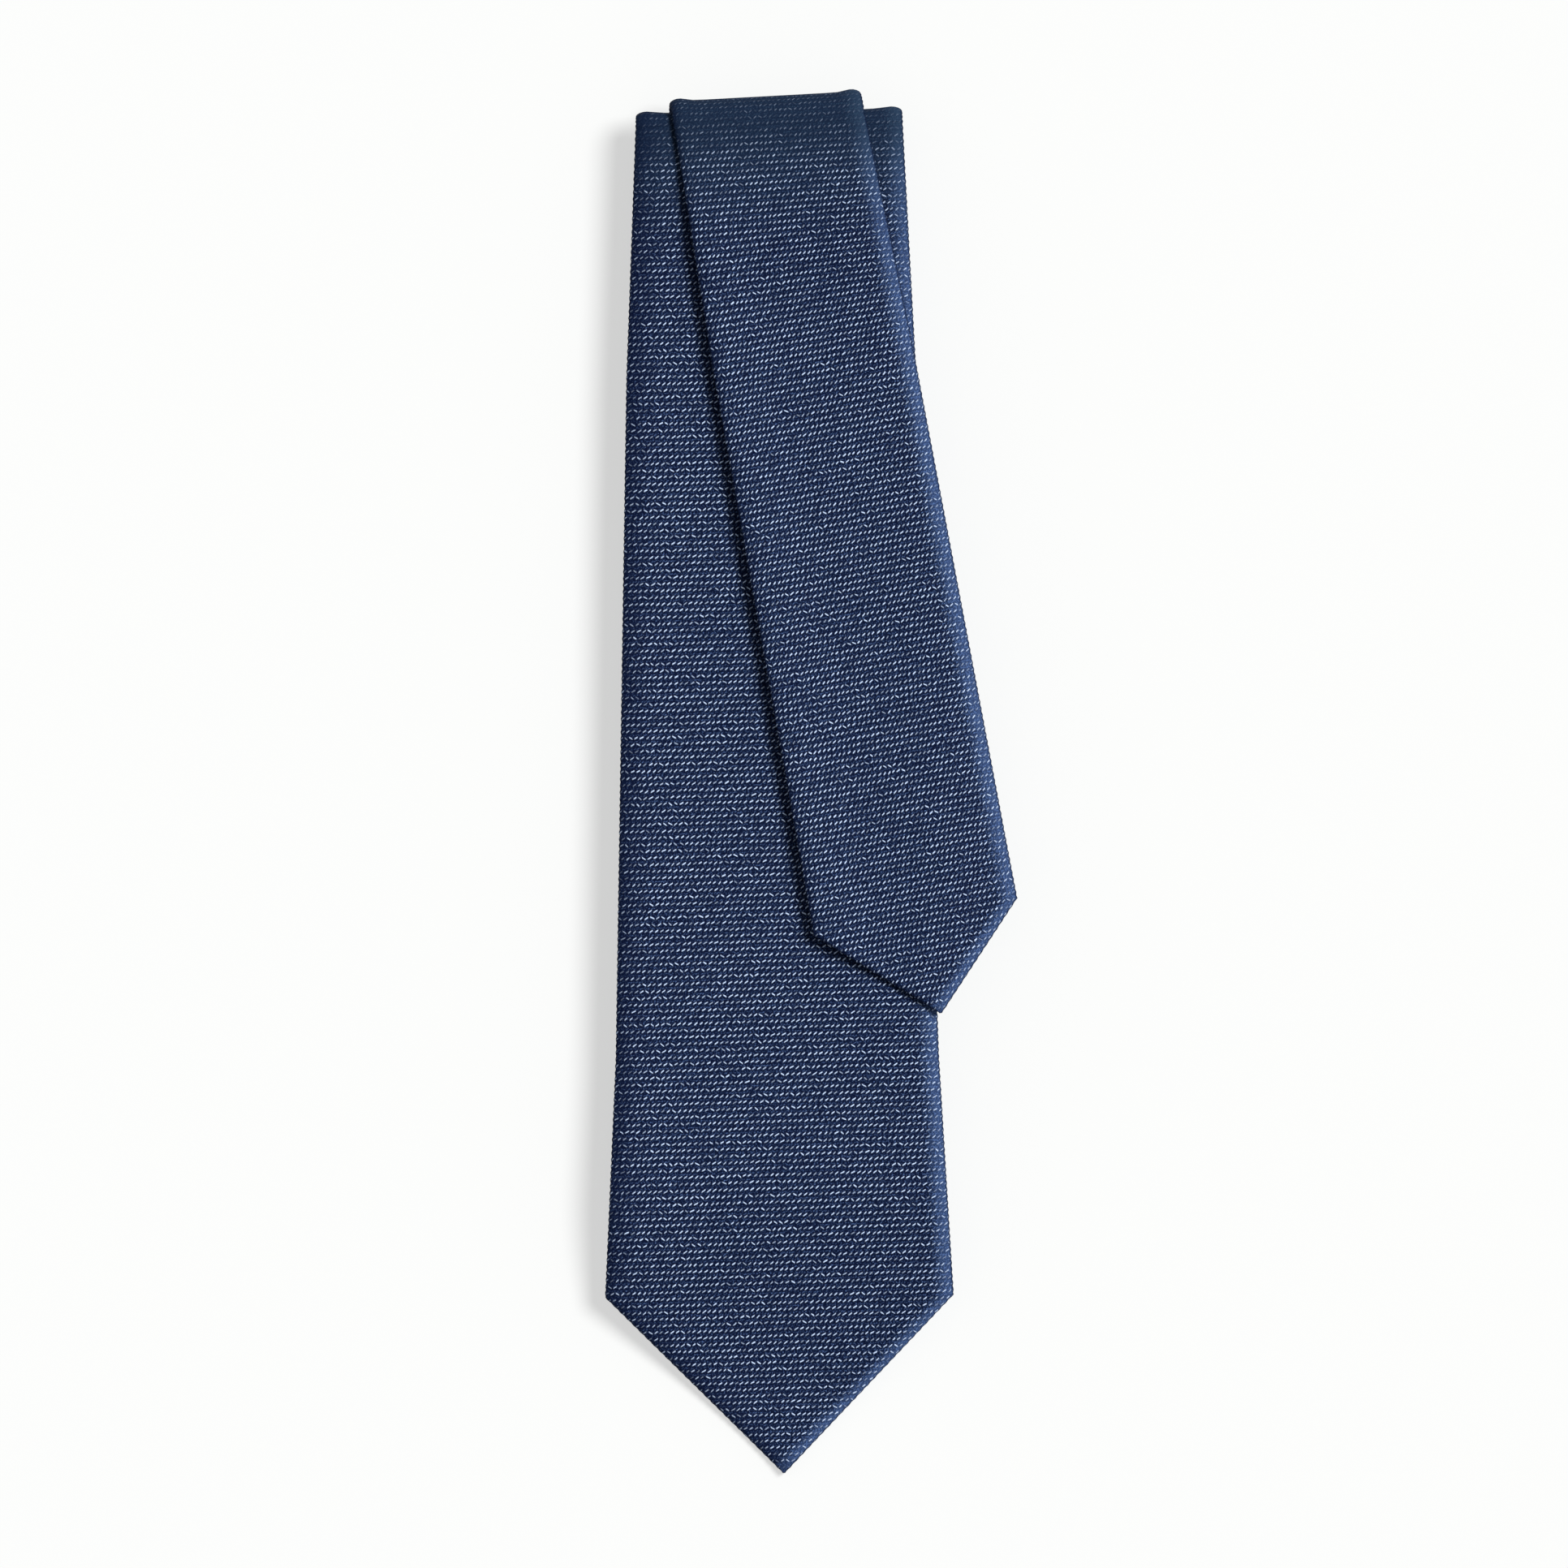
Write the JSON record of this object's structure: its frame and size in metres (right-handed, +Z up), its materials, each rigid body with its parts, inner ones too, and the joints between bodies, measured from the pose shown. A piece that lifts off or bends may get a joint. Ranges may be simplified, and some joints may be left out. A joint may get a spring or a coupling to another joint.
{
  "type": "necktie",
  "caption": "Pointed ribbed-silk necktie folded in half at the neck and in thirds, lying flat with its tail slanting over the wide blade; its folds open",
  "frame": {"origin": "the middle of the folded tie's bounding box seen from above, on the surface it lies on", "axes": "+Z up, out of the surface; +Y along the tie from the wide blade's point to the top fold; +X to the right with the tie lying face up"},
  "size_m": [0.0946, 0.3175, 0.0171],
  "materials": {
    "ribbed_silk": "navy silk with fine cross ribs of pale blue dashes, soft low sheen",
    "interlining": "unbleached brushed wool interlining",
    "tipping_satin": "plain navy satin lining",
    "sewing_thread": "matte navy sewing thread",
    "woven_label": "blank woven label, fine plain weave",
    "satin_tape": "blank white satin tape"
  },
  "bodies": {
    "wide_blade": {"blade_shell": "ribbed_silk", "blade_lining": "interlining", "blade_tipping": "tipping_satin", "blade_slip_stitch": "sewing_thread", "blade_bar_tack": "sewing_thread", "keeper_loop": "ribbed_silk", "keeper_tack_left": "sewing_thread", "keeper_tack_right": "sewing_thread", "label_blank": "woven_label", "label_stitches": "sewing_thread", "care_tag_blank": "satin_tape", "wide_top_fold_shell": "ribbed_silk", "wide_top_fold_lining": "interlining", "tail_top_fold_shell": "ribbed_silk", "tail_top_fold_lining": "interlining", "tail_lift_shell": "ribbed_silk", "tail_lift_lining": "interlining"},
    "tail": {"tail_shell": "ribbed_silk", "tail_lining": "interlining", "tail_tipping": "tipping_satin", "tail_slip_stitch": "sewing_thread", "tail_bar_tack": "sewing_thread"},
    "middle_fold": {"wide_middle_shell": "ribbed_silk", "wide_middle_lining": "interlining", "wide_middle_slip_stitch": "sewing_thread", "tail_middle_shell": "ribbed_silk", "tail_middle_lining": "interlining", "tail_middle_slip_stitch": "sewing_thread", "wide_bottom_fold_shell": "ribbed_silk", "wide_bottom_fold_lining": "interlining", "tail_bottom_fold_shell": "ribbed_silk", "tail_bottom_fold_lining": "interlining"},
    "base_fold": {"wide_base_shell": "ribbed_silk", "wide_base_lining": "interlining", "wide_base_slip_stitch": "sewing_thread", "tail_base_shell": "ribbed_silk", "tail_base_lining": "interlining", "tail_base_slip_stitch": "sewing_thread", "neck_shell_right": "ribbed_silk", "neck_shell_left": "ribbed_silk", "neck_shell_turn": "ribbed_silk", "neck_lining_turn": "interlining", "wide_bias_seam": "sewing_thread", "tail_bias_seam": "sewing_thread"}
  },
  "joints": [
    {"name": "top_fold", "type": "hinge", "parent": "wide_blade", "child": "middle_fold", "pos_m": [-0.00973, 0.15558, 0.01125], "axis": [0.9998, 0.0209, 0], "range_deg": [0, 180], "deforming": ["wide_top_fold_shell", "wide_top_fold_lining", "tail_top_fold_shell", "tail_top_fold_lining"]},
    {"name": "bottom_fold", "type": "hinge", "parent": "middle_fold", "child": "base_fold", "pos_m": [-0.00557, -0.10332, 0.00525], "axis": [-0.9997, 0.0227, 0], "range_deg": [0, 150], "deforming": ["wide_bottom_fold_shell", "wide_bottom_fold_lining", "tail_bottom_fold_shell", "tail_bottom_fold_lining"]},
    {"name": "tail_lift", "type": "hinge", "parent": "wide_blade", "child": "tail", "pos_m": [-0.00891, 0.1478, 0.0171], "axis": [-0.9985, -0.0541, 0], "range_deg": [0, 140], "deforming": ["tail_lift_shell", "tail_lift_lining"]}
  ]
}
